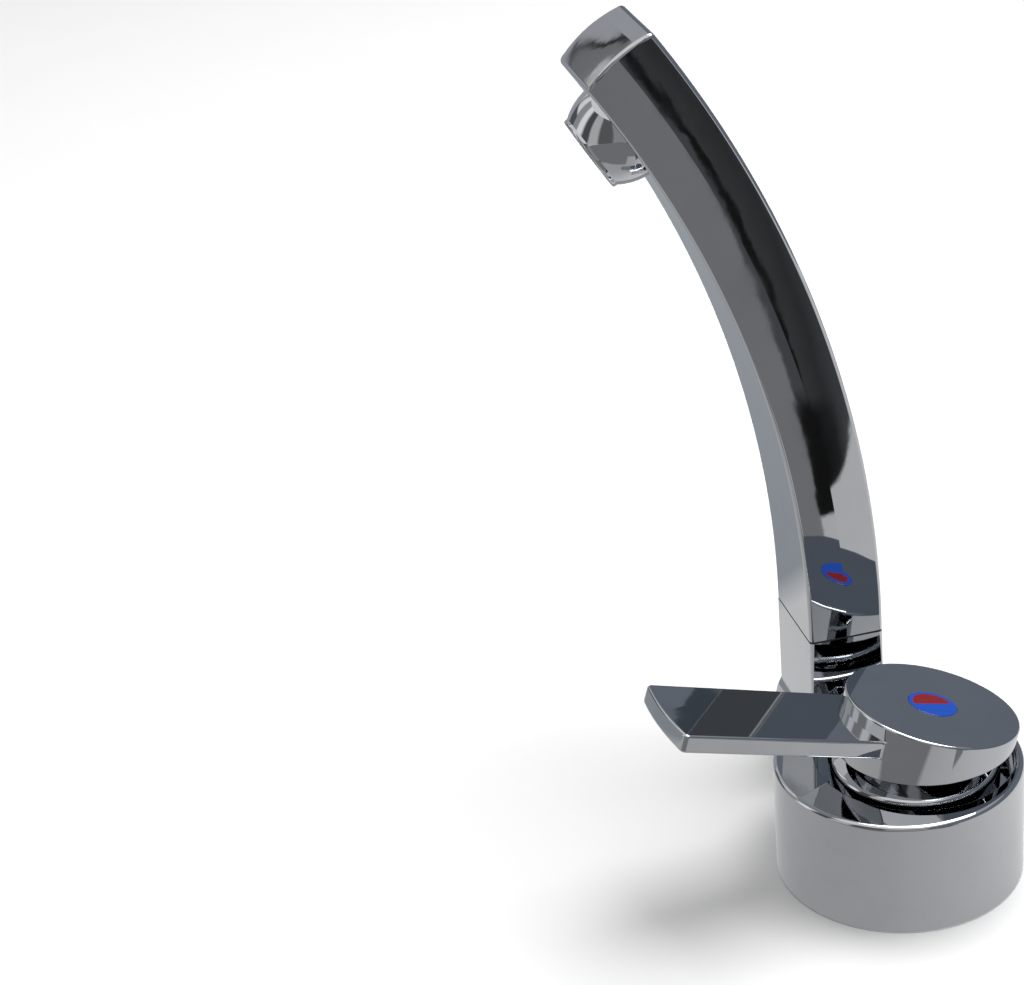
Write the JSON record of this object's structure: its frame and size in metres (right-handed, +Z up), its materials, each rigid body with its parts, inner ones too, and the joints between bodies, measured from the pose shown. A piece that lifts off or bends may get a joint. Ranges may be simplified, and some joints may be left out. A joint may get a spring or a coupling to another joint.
{
  "type": "kitchen mixer tap",
  "caption": "Fold-down kitchen mixer tap in polished chrome: round base, flat single lever with a disc top, and a slim curved spout that folds forward about a side barrel",
  "frame": {"origin": "on the axis of the round base and the shank, at the worktop's surface", "axes": "+Z up, +X along the fold pivot from the base to the spout, +Y the way the spout reaches"},
  "size_m": [0.0756, 0.0754, 0.2134],
  "materials": {
    "chrome": "polished chrome plate",
    "brass": "turned",
    "steel": "plain stainless",
    "rubber": "matt",
    "plastic": "moulded",
    "ceramic": "lapped ceramic",
    "blue": "gloss",
    "red": "gloss"
  },
  "bodies": {
    "base": {"base_body": "chrome", "deck_seal": "rubber", "lock_screw": "steel", "mounting_shank": "brass", "shank_seals": "rubber", "rubber_washer": "rubber", "steel_washer": "steel", "shank_nut": "brass", "cartridge_housing": "plastic", "port_plate": "plastic", "port_seals": "rubber", "fixed_disc": "ceramic", "cartridge_nut": "brass", "cover_ring": "chrome"},
    "turret": {"turret": "plastic", "stem_pin": "steel"},
    "lever": {"lever": "chrome", "lever_stem": "steel", "lever_screw": "steel", "cold_button": "blue", "hot_mark": "red"},
    "disc": {"moving_disc": "ceramic", "disc_carrier": "plastic"},
    "spout": {"knuckle": "chrome", "pivot_orings": "rubber", "seam_gasket": "rubber", "spout": "chrome", "spout_screws": "steel", "water_tube": "plastic", "outlet_elbow": "plastic", "aerator_housing": "chrome", "aerator_seal": "rubber", "aerator_insert": "plastic"}
  },
  "joints": [
    {"name": "spout_fold", "type": "hinge", "parent": "base", "child": "spout", "pos_m": [0.0396, 0, 0.0116], "axis": [-1, 0, 0], "range_deg": [0, 75]},
    {"name": "lever_turn", "type": "hinge", "parent": "base", "child": "turret", "pos_m": [0, -0.0036, 0.0204], "axis": [0, 0, 1], "range_deg": [-45, 35]},
    {"name": "lever_lift", "type": "hinge", "parent": "turret", "child": "lever", "pos_m": [0, -0.0036, 0.0204], "axis": [0.9959, 0.0906, 0], "range_deg": [0, 9]},
    {"name": "disc_slide", "type": "slide", "parent": "turret", "child": "disc", "axis": [-0.0906, 0.9959, 0], "range_m": [0, 0.00068]}
  ],
  "couplings": [
    {"joint": "disc_slide", "follows": "lever_lift", "m_per_rad": 0.00432}
  ]
}
